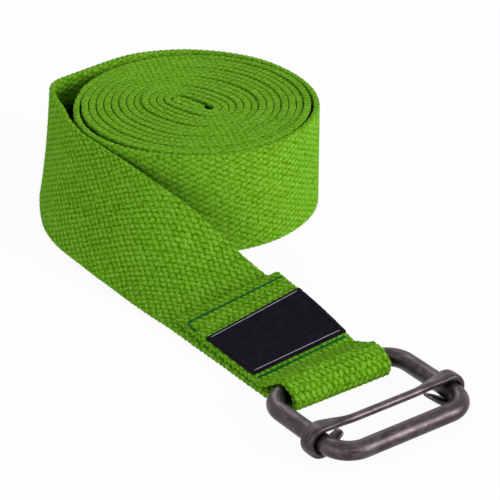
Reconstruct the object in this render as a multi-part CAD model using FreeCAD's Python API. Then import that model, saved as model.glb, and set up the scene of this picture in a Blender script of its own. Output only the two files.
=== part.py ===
import FreeCAD
import Part
import math
import os

# Stretching strap: a rolled length of cotton webbing, stood on its edge, whose sewn end
# carries a bent-wire buckle with a sliding bar.  Millimetres, +Z up.  The origin is the
# roll's axis on the floor; the buckle lies towards -Y.

# ---------------------------------------------------------------- driving dimensions
webbing_width = 38.0            # height of the roll, width of the strap
webbing_thickness = 2.3

# The roll
turn_gap = 0.16                 # air between two turns of the tight roll
pack_turns = 12.82              # tight turns, from the hem to where the strap slackens
core_half_length = 7.0          # half of the flat stretch that the hem keeps straight
core_rounding = 0.12            # how soon the flat core's sides turn into its ends
core_direction = -75.6          # degrees, where the hem's first fold points
hem_flap = 9.4                  # free end, turned back once on itself
hem_gap = 0.3                   # air between the two plies of the hem
slack_lobes = (                 # direction, half width (degrees) and gap of each slack place
    (182.0, 52.0, 1.3),
    (322.0, 48.0, 0.8),
)
leaving_from = 385.0            # degrees, where the outer turn starts to stand off
leaving_to = 450.0              # degrees, where it has left and runs straight
leaving_gap = 3.2
flat_span = 15.0                # degrees that each flat of the tight turns spans
core_crowding = 0.55            # share by which the flats shorten on the core's long sides
arc_span = 20.0                 # degrees that each arc of the slack turn spans

# The lead, from the roll to the sewn end: length of the lower edge and turn to the left
# along each run, then tilt of the webbing (90 stands, 0 lies flat) and lift of its lower
# edge off the floor at the run's end
lead_runs = (
    (25.3, 0.0, 89.0, 0.0),
    (12.3, 43.0, 85.0, 0.0),
    (14.7, 15.0, 77.5, 0.3),
    (13.5, 3.0, 73.5, 1.2),
    (12.3, 4.0, 69.0, 2.4),
    (9.4, 7.5, 63.5, 3.3),
    (11.1, 11.0, 58.0, 3.7),
    (13.6, 11.0, 52.5, 3.2),
    (11.3, 3.0, 48.0, 1.6),
    (10.6, -3.5, 39.0, 0.4),
    (10.6, -1.0, 26.0, 0.0),
    (10.4, 2.0, 17.5, 0.0),
    (9.7, -5.0, 13.0, 0.0),
)
stations_per_run = 2

# The sewn end: the webbing goes round the buckle's rear rail and back over itself
sewn_length = 56.0              # from the cut end of the top ply to the rail's axis
ply_gap = 0.1                   # air between the two sewn plies
loop_fold_length = 3 / 14 * sewn_length     # over which the top ply comes down behind the rail
loop_bulge = 1.8                # slack of the loop in front of the rail
loop_flat_top = 1.6             # and its level top behind the rail's axis
flat_before_rail = 4.0          # the webbing has lost its tilt here, behind the rail

# Label and stitching on the top ply
label_start = 0.2607 * sewn_length          # from the cut end
label_length = 0.4714 * sewn_length
label_near_margin = 1.2         # bare webbing at the near side; the far side is flush
label_thickness = 0.5
thread_width = 0.5
thread_height = 0.3
thread_seat = 0.03              # air under a thread or the label
stitch_length = 2.3
stitch_pitch = 2.8
stitch_margin = 1.4             # from a row's ends to the webbing's edges
cut_end_row = 0.0786 * sewn_length          # from the cut end
loop_row = 0.7607 * sewn_length             # from the cut end
label_row_inset = 0.9           # label stitching, from the label's near and far sides

# The buckle
wire_radius = 3.0
frame_width = 49.6              # between the axes of the two side rails
frame_length = 38.56            # between the axes of the rear and front rails
frame_corner_radius = 8.2       # of the wire's axis
bend_lengths = 9                # straight lengths that make each quarter bend
rail_clearance = 0.3            # under the rear rail, inside the webbing loop
loop_headroom = 1.0             # above it
butt_gap = 0.25                 # between the wire's two ends, hidden by the loop

# The slide bar
bar_radius = 1.4
eye_clearance = 0.4             # running room of each eye round its side rail
eye_length = 5.4                # along the rail
bar_drop = 27.05                # from the rear rail's axis to the bar's axis, at rest
bar_rise = 2.9                  # bar's axis above the plane of the frame
strand_reach = 11.8             # from a side rail's axis to where the bar is round again
tip_reach = 8.4                 # from a side rail's axis to the tip of the wrapped end
tip_level = 0.45                # tip's axis, from the plane of the frame
tip_width = 3.4
tip_thickness = 1.2

# ---------------------------------------------------------------- worked-out sizes
turn_pitch = webbing_thickness + turn_gap
hem_pitch = webbing_thickness + hem_gap
rail_height = webbing_thickness + rail_clearance + wire_radius
eye_inner_radius = wire_radius + eye_clearance
eye_thickness = rail_height - eye_inner_radius
loop_inner_radius = wire_radius + (rail_clearance + loop_headroom) / 2
loop_outer_radius = loop_inner_radius + webbing_thickness
two_plies = 2 * webbing_thickness + ply_gap


def vector(x, y, z=0.0):
    return FreeCAD.Vector(x, y, z)


def smooth_step(share):
    """0 to 1, level at both ends."""
    share = min(max(share, 0.0), 1.0)
    return (1 - math.cos(math.pi * share)) / 2


# ---------------------------------------------------------------- the roll's curve
# The webbing's centre line is given by its distance from the axis, measured square to
# the webbing.  Two turns are then a turn's pitch apart everywhere.
def direction_at(turns):
    """Degrees: where the webbing's outer side faces after a number of turns."""
    return core_direction - 90.0 + 360.0 * turns


def slack_at(turns):
    """Extra gap of the outer turn, which the roll's own spring opens."""
    if turns <= pack_turns:
        return 0.0
    first = direction_at(pack_turns)
    bearing = first % 360.0 + direction_at(turns) - first
    gap = leaving_gap * smooth_step((bearing - leaving_from) / (leaving_to - leaving_from))
    for middle, half_width, lobe_gap in slack_lobes:
        share = 1 - abs(bearing - middle) / half_width
        gap += lobe_gap * smooth_step(share)
    return gap


def distance_at(turns):
    """Distance from the axis to the webbing's centre line."""
    flatness = max(0.0, 1 - turns / pack_turns)
    across = math.cos(math.radians(360.0 * turns - 90.0))
    flat = math.hypot(across, core_rounding) - core_rounding
    core = core_half_length * (flatness * flat + 1 - flatness)
    return core + hem_pitch + turn_pitch * turns + slack_at(turns)


def roll_point(turns, offset):
    """A point beside the centre line; a positive offset is outwards."""
    step = 0.0005
    slope = (distance_at(turns + step) - distance_at(turns - step)) / (4 * math.pi * step)
    facing = math.radians(direction_at(turns))
    out = vector(math.cos(facing), math.sin(facing))
    along = vector(-math.sin(facing), math.cos(facing))
    return out * (distance_at(turns) + offset) + along * slope


def flat_corner(index):
    """Turns at a corner of the tight turns' flats; corners crowd where the core is straight."""
    turns = index * flat_span / 360.0
    crowding = core_crowding * (1 - turns / pack_turns)
    return turns - crowding * math.sin(4 * math.pi * turns) / (4 * math.pi)


def flat_side(offset):
    """One side of the tight turns, as a run of short flats."""
    corners = []
    index = 0
    while flat_corner(index) < pack_turns - 0.005:
        corners.append(roll_point(flat_corner(index), offset))
        index += 1
    corners.append(roll_point(pack_turns, offset))
    return [
        Part.LineSegment(start, end).toShape() for start, end in zip(corners, corners[1:])
    ]


def arc_side(offset):
    """One side of the slack turn, as a run of arcs."""
    count = math.ceil((last_turn - pack_turns) * 360.0 / arc_span)
    step = (last_turn - pack_turns) / count
    edges = []
    for index in range(count):
        turns = pack_turns + step * index
        start = roll_point(turns, offset)
        middle = roll_point(turns + step / 2, offset)
        end = roll_point(turns + step, offset)
        edges.append(Part.Arc(start, middle, end).toShape())
    return edges


def stand_up(edges):
    """Closed outline on the floor, raised to the webbing's width."""
    outline = Part.Wire(Part.__sortEdges__(edges))
    return Part.Face(outline).extrude(vector(0, 0, webbing_width))


def webbing_coil():
    """Hemmed free end and the tight turns wound round it."""
    half = webbing_thickness / 2
    facing = math.radians(core_direction)
    along = vector(math.cos(facing), math.sin(facing))
    aside = vector(-math.sin(facing), math.cos(facing))
    bend = -along * (core_half_length - hem_pitch / 2)
    flap_end = bend + along * hem_flap
    first_inner = roll_point(0, -half)
    first_outer = roll_point(0, half)
    last_inner = roll_point(pack_turns, -half)
    last_outer = roll_point(pack_turns, half)
    bend_middle = bend - aside * (hem_pitch / 2)
    inner_radius = hem_pitch / 2 - half
    outer_radius = hem_pitch / 2 + half
    edges = flat_side(-half) + flat_side(half)
    edges += [
        Part.LineSegment(last_inner, last_outer).toShape(),
        Part.LineSegment(flap_end - aside * half, flap_end + aside * half).toShape(),
        Part.LineSegment(flap_end + aside * half, bend + aside * half).toShape(),
        Part.LineSegment(flap_end - aside * half, bend - aside * half).toShape(),
        Part.Arc(
            bend + aside * half,
            bend_middle - along * outer_radius,
            bend_middle - aside * outer_radius,
        ).toShape(),
        Part.Arc(
            bend - aside * half,
            bend_middle - along * inner_radius,
            bend_middle - aside * inner_radius,
        ).toShape(),
        Part.LineSegment(bend_middle - aside * inner_radius, first_inner).toShape(),
        Part.LineSegment(bend_middle - aside * outer_radius, first_outer).toShape(),
    ]
    return stand_up(edges)


last_turn = pack_turns + (
    leaving_to - direction_at(pack_turns) % 360.0
) / 360.0


def webbing_outer_turn():
    """The slackened outer turn, up to where the strap leaves the roll."""
    half = webbing_thickness / 2
    edges = arc_side(-half) + arc_side(half)
    edges += [
        Part.LineSegment(roll_point(pack_turns, -half), roll_point(pack_turns, half)).toShape(),
        Part.LineSegment(roll_point(last_turn, -half), roll_point(last_turn, half)).toShape(),
    ]
    return stand_up(edges)


# ---------------------------------------------------------------- twisted webbing
def rectangle(corner, across, width, through, thickness):
    """Closed cross-section of webbing, thread or label."""
    points = [
        corner,
        corner + across * width,
        corner + across * width + through * thickness,
        corner + through * thickness,
    ]
    return Part.makePolygon(points + points[:1])


def flat_faceted(sections):
    """Solid through rectangular sections, each twisted side folded into two flats.

    Opposite sides fold on matching corners, so the thickness holds.
    """
    corners = [section.Vertexes[:4] for section in sections]
    faces = [Part.Face(sections[0]), Part.Face(sections[-1])]
    for first, second in zip(corners, corners[1:]):
        for index in range(4):
            a = first[index].Point
            b = first[(index + 1) % 4].Point
            c = second[(index + 1) % 4].Point
            d = second[index].Point
            flats = ((a, b, d), (b, c, d)) if index < 2 else ((a, b, c), (a, c, d))
            for flat in flats:
                faces.append(Part.Face(Part.makePolygon(flat + flat[:1])))
    shell = Part.makeShell(faces)
    shell.sewShape()
    solid = Part.Solid(shell)
    solid.fix(1e-6, 1e-6, 1e-6)
    return solid


def tilted(heading, tilt):
    """Across and outward directions of webbing that heads some way and leans."""
    heading = math.radians(heading)
    tilt = math.radians(tilt)
    inward = vector(-math.sin(heading), math.cos(heading))
    up = vector(0, 0, 1)
    across = inward * math.cos(tilt) + up * math.sin(tilt)
    outward = up * math.cos(tilt) - inward * math.sin(tilt)
    return across, outward, inward


def lead_stations():
    """Outer lower edge, heading and tilt along the lead."""
    place = roll_point(last_turn, webbing_thickness / 2)
    heading = direction_at(last_turn) % 360.0 + 90.0
    tilt = 90.0
    lift = 0.0
    run_steps = round(stations_per_run)
    stations = [(place, heading, tilt)]
    for length, turn, end_tilt, end_lift in lead_runs:
        for index in range(run_steps):
            step = length / run_steps
            middle = math.radians(heading + turn * (index + 0.5) / run_steps)
            climb = (end_lift - lift) / run_steps
            place = place + vector(math.cos(middle) * step, math.sin(middle) * step, climb)
            share = (index + 1) / run_steps
            stations.append(
                (place, heading + turn * share, tilt + (end_tilt - tilt) * share)
            )
        heading += turn
        tilt = end_tilt
        lift = end_lift
    return stations


def webbing_lead():
    """The strap between the roll and the sewn end: it bends, then leans over and lies down."""
    sections = []
    for place, heading, tilt in lead_stations():
        across, outward, inward = tilted(heading, tilt)
        corner = place + inward * (webbing_thickness * math.sin(math.radians(tilt)))
        sections.append(rectangle(corner, across, webbing_width, outward, webbing_thickness))
    return flat_faceted(sections)


# ---------------------------------------------------------------- the sewn end
sewn_place, sewn_heading, sewn_tilt = lead_stations()[-1]
near_edge = sewn_place.x + webbing_thickness * math.sin(math.radians(sewn_tilt))
cut_end = sewn_place.y
rail_y = cut_end - sewn_length
strap_middle = near_edge + webbing_width / 2


def tilt_at(along):
    """The sewn end's tilt dies out before the rail."""
    share = min(1.0, max(0.0, along) / (sewn_length - flat_before_rail))
    return sewn_tilt * (1 - share * share)


def sewn_section(along, height, climb, width, thickness, margin=0.0):
    """Cross-section on the sewn end, at a height above its floor face.

    climb is how far the webbing has turned up round the rail, in degrees.
    """
    across, outward, _ = tilted(270.0, tilt_at(along))
    climb = math.radians(climb)
    inner = outward * math.cos(climb) + vector(0, 1, 0) * math.sin(climb)
    corner = vector(near_edge, cut_end - along) + outward * height + across * margin
    return rectangle(corner, across, width, inner, thickness)


def label_stations():
    """Places along the top ply where it and the label turn together."""
    steps = 4
    return [label_start + label_length * index / steps for index in range(steps + 1)]


def webbing_sewn_end():
    """Lower ply, loop round the rear rail and top ply, as one strip."""
    sections = []
    lower_steps = 6
    level_from = sewn_length - flat_before_rail
    for index in range(lower_steps + 1):
        along = level_from * index / lower_steps
        sections.append(sewn_section(along, 0, 0, webbing_width, webbing_thickness))
    along = sewn_length + loop_bulge
    sections.append(sewn_section(along, 0, 0, webbing_width, webbing_thickness))
    loop_steps = 9
    for index in range(1, loop_steps + 1):
        climb = 180.0 * index / loop_steps
        turn = math.radians(climb)
        along = sewn_length + loop_bulge + loop_outer_radius * math.sin(turn)
        height = loop_outer_radius * (1 - math.cos(turn))
        sections.append(sewn_section(along, height, climb, webbing_width, webbing_thickness))
    fold_steps = 6
    drop = 2 * loop_outer_radius - two_plies
    fold_from = sewn_length - loop_flat_top
    fold_run = loop_fold_length - loop_flat_top
    for index in range(fold_steps + 1):
        share = index / fold_steps
        along = fold_from - fold_run * share
        height = 2 * loop_outer_radius - drop * smooth_step(share)
        slope = drop * math.pi / 2 * math.sin(math.pi * share) / fold_run
        climb = 180.0 + math.degrees(math.atan(slope))
        sections.append(sewn_section(along, height, climb, webbing_width, webbing_thickness))
    for along in label_stations()[::-1] + [cut_end_row, 0.0]:
        sections.append(sewn_section(along, two_plies, 180, webbing_width, webbing_thickness))
    return Part.makeLoft(sections, True, True)


def on_top_ply(stations, margin, width, thickness):
    """A thin piece that lies on the top ply and follows its tilt."""
    height = two_plies + thread_seat
    sections = [sewn_section(along, height, 0, width, thickness, margin) for along in stations]
    return Part.makeLoft(sections, True, True)


def label():
    """Woven patch sewn on the top ply."""
    width = webbing_width - label_near_margin
    return on_top_ply(label_stations(), label_near_margin, width, label_thickness)


def stitch_row_across(along):
    """A row of lock stitches across the strap."""
    count = int((webbing_width - 2 * stitch_margin + stitch_pitch - stitch_length) / stitch_pitch)
    first = (webbing_width - (count - 1) * stitch_pitch - stitch_length) / 2
    stitches = []
    for index in range(count):
        margin = first + index * stitch_pitch
        stations = (along, along + thread_width)
        stitches.append(on_top_ply(stations, margin, stitch_length, thread_height))
    return Part.makeCompound(stitches)


def cut_end_stitching():
    """Row that holds the top ply's cut end."""
    return stitch_row_across(cut_end_row)


def loop_stitching():
    """Row that closes the loop behind the rail."""
    return stitch_row_across(loop_row)


def label_stitching():
    """Two rows along the strap that hold the label's sides."""
    count = int(label_length / stitch_pitch)
    first = label_start + (label_length - (count - 1) * stitch_pitch - stitch_length) / 2
    near = label_near_margin + label_row_inset
    far = webbing_width - label_row_inset - thread_width
    stitches = []
    for margin in (near, far):
        for index in range(count):
            start = first + index * stitch_pitch
            height = two_plies + 2 * thread_seat + label_thickness
            sections = []
            for along in (start, start + stitch_length):
                sections.append(
                    sewn_section(along, height, 0, thread_width, thread_height, margin)
                )
            stitches.append(Part.makeLoft(sections, True, True))
    return Part.makeCompound(stitches)


# ---------------------------------------------------------------- the buckle frame
frame_middle_y = rail_y - frame_length / 2
side_rail_x = frame_width / 2


def wire_bend(centre, first_bearing):
    """A quarter bend of the wire, as short straight lengths that meet on a mitre."""
    rings = []
    steps = round(bend_lengths)
    for index in range(steps + 1):
        bearing = math.radians(first_bearing + 90.0 * index / steps)
        out = vector(math.cos(bearing), math.sin(bearing))
        along = vector(-math.sin(bearing), math.cos(bearing))
        ring = Part.Circle(centre + out * frame_corner_radius, along, wire_radius)
        rings.append(Part.Wire(ring.toShape()))
    return Part.makeLoft(rings, True, True)


def buckle_frame():
    """Round wire bent into a rectangle, its two ends butted in the rear rail."""
    straight_x = frame_width / 2 - frame_corner_radius
    straight_y = frame_length / 2 - frame_corner_radius
    middle = vector(strap_middle, frame_middle_y, rail_height)
    rails = []
    for side in (-1, 1):
        start = middle + vector(side * side_rail_x, -straight_y)
        rails.append(Part.makeCylinder(wire_radius, 2 * straight_y, start, vector(0, 1, 0)))
        end_length = straight_x - butt_gap / 2
        start = middle + vector(side * straight_x, frame_length / 2)
        rails.append(Part.makeCylinder(wire_radius, end_length, start, vector(-side, 0, 0)))
    start = middle + vector(-straight_x, -frame_length / 2)
    rails.append(Part.makeCylinder(wire_radius, 2 * straight_x, start, vector(1, 0, 0)))
    bends = ((1, 1, 0.0), (-1, 1, 90.0), (-1, -1, 180.0), (1, -1, 270.0))
    for side, end, first_bearing in bends:
        centre = middle + vector(side * straight_x, end * straight_y)
        rails.append(wire_bend(centre, first_bearing))
    wire = rails[0].fuse(rails[1:])
    return wire.removeSplitter()


# ---------------------------------------------------------------- the slide bar
def flattened_section(place, along, width, thickness, corner):
    """Cross-section of the wrapped end: a band whose edges are hammered off at corner."""
    side = vector(0, 1, 0)
    through = side.cross(along)
    half_width = width / 2
    half_thickness = thickness / 2
    outline = (
        (half_width, half_thickness - corner),
        (half_width - corner, half_thickness),
        (corner - half_width, half_thickness),
        (-half_width, half_thickness - corner),
        (-half_width, corner - half_thickness),
        (corner - half_width, -half_thickness),
        (half_width - corner, -half_thickness),
        (half_width, corner - half_thickness),
    )
    points = [place + side * y + through * z for y, z in outline]
    return Part.makePolygon(points + points[:1])


def tangent_angle(reach, level, radius):
    """Angle on the eye's round at which a straight strand leaves for a point."""
    distance = math.hypot(reach, level)
    return math.atan2(level, reach), math.acos(radius / distance)


def eye_path():
    """Points of the wrapped end, from its tip round the rail to the bar."""
    radius = eye_inner_radius + eye_thickness / 2
    bearing, opening = tangent_angle(tip_reach, tip_level, radius)
    lower = bearing - opening
    bearing, opening = tangent_angle(strand_reach, bar_rise, radius)
    upper = bearing + opening
    sweep = upper - lower - 2 * math.pi
    path = []
    strand_steps = 3
    low_point = (radius * math.cos(lower), radius * math.sin(lower))
    for index in range(strand_steps):
        share = index / strand_steps
        x = tip_reach + (low_point[0] - tip_reach) * share
        z = tip_level + (low_point[1] - tip_level) * share
        path.append((x, z, lower - math.pi / 2, share, 0.0))
    round_steps = 9
    for index in range(round_steps + 1):
        angle = lower + sweep * index / round_steps
        x = radius * math.cos(angle)
        z = radius * math.sin(angle)
        path.append((x, z, angle - math.pi / 2, 1.0, 0.0))
    high_point = (radius * math.cos(upper), radius * math.sin(upper))
    for index in range(1, strand_steps + 1):
        share = index / strand_steps
        x = high_point[0] + (strand_reach - high_point[0]) * share
        z = high_point[1] + (bar_rise - high_point[1]) * share
        level = (upper - math.pi / 2) * (1 - smooth_step(share))
        path.append((x, z, level, 1.0, smooth_step(share)))
    return path


def bar_end(side):
    """One wrapped end and its half of the bar; side is -1 or 1."""
    sections = []
    middle = vector(strap_middle, rail_y - bar_drop, rail_height)
    for x, z, heading, from_tip, to_bar in eye_path():
        place = middle + vector(side * (side_rail_x - x), 0, z)
        along = vector(-side * math.cos(heading), 0, math.sin(heading))
        width = tip_width + (eye_length - tip_width) * smooth_step(from_tip)
        thickness = tip_thickness + (eye_thickness - tip_thickness) * smooth_step(from_tip)
        width += (2 * bar_radius - eye_length) * to_bar
        thickness += (2 * bar_radius - eye_thickness) * to_bar
        corner = thickness * (0.25 + 0.04 * to_bar)
        sections.append(flattened_section(place, along, width, thickness, corner))
    return Part.makeLoft(sections, True, True)


def slide_bar():
    """Round bar whose ends are hammered flat and wrapped round the side rails."""
    overlap = 0.4
    start = vector(
        strap_middle - side_rail_x + strand_reach - overlap,
        rail_y - bar_drop,
        rail_height + bar_rise,
    )
    length = frame_width - 2 * strand_reach + 2 * overlap
    bar = Part.makeCylinder(bar_radius, length, start, vector(1, 0, 0))
    return bar.fuse([bar_end(-1), bar_end(1)])


pieces = {
    "webbing_coil": webbing_coil,
    "webbing_outer_turn": webbing_outer_turn,
    "webbing_lead": webbing_lead,
    "webbing_sewn_end": webbing_sewn_end,
    "label": label,
    "label_stitching": label_stitching,
    "cut_end_stitching": cut_end_stitching,
    "loop_stitching": loop_stitching,
    "buckle_frame": buckle_frame,
    "slide_bar": slide_bar,
}

os.makedirs("parts", exist_ok=True)
for node, make in pieces.items():
    shape = make()
    shape.exportStep(os.path.join("parts", node + ".step"))
    box = shape.BoundBox
    print(
        node,
        "valid", shape.isValid(),
        "solids", len(shape.Solids),
        "volume %.1f" % shape.Volume,
        "x %.2f..%.2f y %.2f..%.2f z %.2f..%.2f"
        % (box.XMin, box.XMax, box.YMin, box.YMax, box.ZMin, box.ZMax),
    )
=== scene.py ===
import math

import bpy
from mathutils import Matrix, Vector, noise


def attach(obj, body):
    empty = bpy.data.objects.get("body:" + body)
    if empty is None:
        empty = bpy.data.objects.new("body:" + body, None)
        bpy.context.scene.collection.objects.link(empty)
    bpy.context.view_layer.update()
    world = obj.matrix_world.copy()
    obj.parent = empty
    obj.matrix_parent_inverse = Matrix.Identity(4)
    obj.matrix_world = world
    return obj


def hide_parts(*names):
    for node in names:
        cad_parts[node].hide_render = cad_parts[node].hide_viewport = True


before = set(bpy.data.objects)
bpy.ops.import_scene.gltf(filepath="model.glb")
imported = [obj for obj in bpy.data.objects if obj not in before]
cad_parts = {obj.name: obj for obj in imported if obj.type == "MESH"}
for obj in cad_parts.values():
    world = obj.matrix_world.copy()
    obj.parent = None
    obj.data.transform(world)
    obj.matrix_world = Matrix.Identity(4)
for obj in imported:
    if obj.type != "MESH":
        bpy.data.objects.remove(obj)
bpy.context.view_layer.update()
bpy.ops.object.select_all(action="DESELECT")


# ------------------------------------------------------------ camera, floor and studio light
# The strap stands on a plain white sweep.  One broad soft light stands in front on its right,
# weaker ones fill from the left and from behind, and the rest is the pale room.
camera_data = bpy.data.cameras.new("camera")
camera_data.lens = 170.31
camera_data.sensor_width = 36.0
camera_data.clip_end = 20.0
camera = bpy.data.objects.new("camera", camera_data)
camera.location = (-0.43125, -0.62516, 0.39048)
camera.rotation_euler = (math.radians(61.546), 0.0, math.radians(-36.084))
bpy.context.collection.objects.link(camera)
bpy.context.scene.camera = camera
bpy.context.scene.view_settings.view_transform = "Standard"


def soft_light(name, place, target, size, watts, colour):
    """Square area light that faces a target."""
    bpy.ops.object.light_add(type="AREA", location=place)
    light = bpy.context.object
    light.name = name
    light.data.size = size
    light.data.energy = watts
    light.data.color = colour
    towards = Vector(target) - Vector(place)
    light.rotation_euler = towards.to_track_quat("-Z", "Y").to_euler()


middle_of_strap = (-0.02, -0.05, 0.02)
soft_light("key_light", (0.68, -1.13, 0.52), middle_of_strap, 0.6, 16.8, (1.0, 0.985, 0.95))
soft_light("fill_light", (-1.03, -0.33, 0.28), middle_of_strap, 0.8, 5.1, (0.97, 0.985, 1.0))
soft_light("back_light", (0.35, 0.95, 0.9), middle_of_strap, 0.6, 4.4, (1.0, 1.0, 1.0))


def put(tree, kind, inputs=None, **settings):
    """Add a shader node; inputs are values, or sockets to link from."""
    made = tree.nodes.new(kind)
    for key, value in settings.items():
        setattr(made, key, value)
    for key, value in (inputs or {}).items():
        socket = made.inputs[key]
        if isinstance(value, bpy.types.NodeSocket):
            tree.links.new(value, socket)
        else:
            socket.default_value = value
    return made


def maths(tree, operation, *values, **settings):
    """Result of a math node on up to three values or sockets."""
    node = put(tree, "ShaderNodeMath", dict(enumerate(values)), operation=operation, **settings)
    return node.outputs[0]


def shown_directly(tree):
    """1 to the camera and to mirror and glass rays, 0 to the light that falls on the strap."""
    rays = put(tree, "ShaderNodeLightPath")
    seen = maths(tree, "MAXIMUM", rays.outputs["Is Camera Ray"], rays.outputs["Is Glossy Ray"])
    return maths(tree, "MAXIMUM", seen, rays.outputs["Is Transmission Ray"])


def plain_material(name):
    """Empty material with its output node."""
    made = bpy.data.materials.new(name)
    made.use_nodes = True
    made.node_tree.nodes.clear()
    output = made.node_tree.nodes.new("ShaderNodeOutputMaterial")
    return made, made.node_tree, output


world = bpy.data.worlds.new("pale_room")
bpy.context.scene.world = world
world.use_nodes = True
room = world.node_tree
room.nodes.clear()
dim_room = put(room, "ShaderNodeBackground", {"Color": (0.9, 0.95, 1.0, 1.0), "Strength": 0.4})
white_room = put(room, "ShaderNodeBackground", {"Color": (1.0, 1.0, 1.0, 1.0), "Strength": 1.0})
room_mix = put(room, "ShaderNodeMixShader", {0: shown_directly(room), 1: dim_room.outputs[0],
                                             2: white_room.outputs[0]})
put(room, "ShaderNodeOutputWorld", {"Surface": room_mix.outputs[0]})

bpy.ops.mesh.primitive_plane_add(size=6.0, location=(0.0, 0.0, -0.0002))
floor = bpy.context.object
floor.name = "floor"
white_floor, tree, output = plain_material("white_sweep")
matt = put(tree, "ShaderNodeBsdfDiffuse", {"Color": (0.86, 0.86, 0.86, 1.0)})
glow = put(tree, "ShaderNodeEmission", {"Color": (1.0, 1.0, 1.0, 1.0), "Strength": 1.0})
share = maths(tree, "MULTIPLY", shown_directly(tree), 0.94)
shown = put(tree, "ShaderNodeMixShader", {0: share, 1: matt.outputs[0], 2: glow.outputs[0]})
tree.links.new(shown.outputs[0], output.inputs["Surface"])
floor.data.materials.append(white_floor)


# ------------------------------------------------------------ webbing: the tight roll
# Cotton webbing, 38 mm wide, woven in a coarse plain weave with rounded selvedges.  Its free
# end is folded under once and the rest is wound round it, turn on turn.
webbing_width = 38.0
webbing_thickness = 2.3
half = webbing_thickness / 2
warp = webbing_width / 35       # width of one warp end; each floats over every other weft
pick = 2.13                     # from one weft yarn to the next
float_half_length = 1.2
float_half_width = 0.8
pit_height = 0.22               # how high the weave's pits lie, as a share of its relief
flat_from, flat_to = 0.8, 37.2  # across the webbing, where it is flat between its selvedges
belly_from, belly_to = 2.0, 35.0

turn_gap = 0.16                 # between one turn of the roll and the next
pack_turns = 12.82              # turns that lie tight
slack_gap = 3.2                 # opens beyond them, over these degrees of bearing
slack_from, slack_over = 385.0, 65.0
slack_lobes = ((182.0, 52.0, 1.3), (322.0, 48.0, 0.8))  # more: bearing, half width and gap
core_half_length = 7.0          # the first turns are flat, like the folded hem inside them
core_rounding = 0.12
core_direction = -75.6
hem_flap = 9.4                  # length that is folded under
hem_gap = 0.3
turn_pitch = webbing_thickness + turn_gap
hem_pitch = webbing_thickness + hem_gap
up = Vector((0.0, 0.0, 1.0))


def smooth_step(share):
    """Ease from 0 to 1, held at both ends."""
    share = min(max(share, 0.0), 1.0)
    return (1 - math.cos(math.pi * share)) / 2


def direction_at(turns):
    """Bearing from the roll's axis after a number of turns."""
    return core_direction - 90.0 + 360.0 * turns


def slack_at(turns):
    """Extra gap of the outer turn, which the roll's own spring opens."""
    if turns <= pack_turns:
        return 0.0
    first = direction_at(pack_turns)
    bearing = first % 360.0 + direction_at(turns) - first
    gap = slack_gap * smooth_step((bearing - slack_from) / slack_over)
    for middle, half_width, lobe_gap in slack_lobes:
        gap += lobe_gap * smooth_step(1 - abs(bearing - middle) / half_width)
    return gap


def distance_at(turns):
    """Distance from the roll's axis to the webbing's centre line."""
    flatness = max(0.0, 1 - turns / pack_turns)
    across = math.cos(math.radians(360.0 * turns - 90.0))
    flat = math.hypot(across, core_rounding) - core_rounding
    core = core_half_length * (flatness * flat + 1 - flatness)
    return core + hem_pitch + turn_pitch * turns + slack_at(turns)


def roll_station(turns):
    """Centre line's place and outward direction after a number of turns."""
    step = 0.0005
    slope = (distance_at(turns + step) - distance_at(turns - step)) / (4 * math.pi * step)
    facing = math.radians(direction_at(turns))
    out = Vector((math.cos(facing), math.sin(facing), 0.0))
    along = Vector((-math.sin(facing), math.cos(facing), 0.0))
    return out * distance_at(turns) + along * slope, out


def roll_run(first_turn, end_turn, spacing):
    """Turns at even spacing along the webbing."""
    found = [first_turn]
    length = 0.0
    turns = first_turn
    place = roll_station(turns)[0]
    fine = 0.0004
    while turns < end_turn:
        turns = min(turns + fine, end_turn)
        moved = roll_station(turns)[0]
        length += (moved - place).length
        place = moved
        if length >= spacing * len(found):
            found.append(turns)
    if end_turn - found[-1] < fine * 2:
        found.pop()
    found.append(end_turn)
    return found


def grain(along, across, slants):
    """Height of the weave, 0 to 1, and a number of its own for each float of the warp."""
    row = math.floor(across / warp)
    best, dye = 0.0, 0.5
    for near in (row - 1, row, row + 1):
        turn = along / (2 * pick) - 0.5 * (near % 2)
        index = round(turn)
        mix = math.sin(index * 12.9898 + near * 78.233) * 43758.5453
        mix -= math.floor(mix)              # a repeatable number, 0 to 1
        other = math.modf(mix * 7.31)[0]    # and another
        past = (turn - index) * 2 * pick + 0.4 * (mix - 0.5)
        slant = slants[near % 2]
        beside = across - (near + 0.5) * warp + 0.14 * (other - 0.5) + slant * past
        past /= float_half_length + 0.2 * other
        beside /= float_half_width + 0.08 * mix
        dome = 1 - past ** 2 - beside ** 2
        if dome > 0:
            height = dome ** 0.5 * (0.88 + 0.12 * other)
            if height > best:
                best, dye = height, mix
    return max(best, pit_height), dye


def skin(ring_count, points_each):
    """Faces of a closed skin over rings of points, with a cap at each end."""
    faces = []
    for row in range(ring_count - 1):
        start = row * points_each
        for column in range(points_each):
            beside = (column + 1) % points_each
            faces.append((start + column, start + points_each + column,
                          start + points_each + beside, start + beside))
    faces.append(tuple(range(points_each)))
    last = (ring_count - 1) * points_each
    faces.append(tuple(reversed(range(last, last + points_each))))
    return faces


def mesh_piece(name, points, faces):
    """New piece from points in metres, selected alone."""
    mesh = bpy.data.meshes.new(name)
    mesh.from_pydata(points, [], faces)
    made = bpy.data.objects.new(name, mesh)
    bpy.context.collection.objects.link(made)
    bpy.ops.object.select_all(action="DESELECT")
    bpy.context.view_layer.objects.active = made
    made.select_set(True)
    return made


def smoothed(piece, degrees):
    """Shade the selected piece smooth up to an angle, and let go of it."""
    bpy.ops.object.shade_smooth_by_angle(angle=math.radians(degrees))
    piece.select_set(False)


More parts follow.
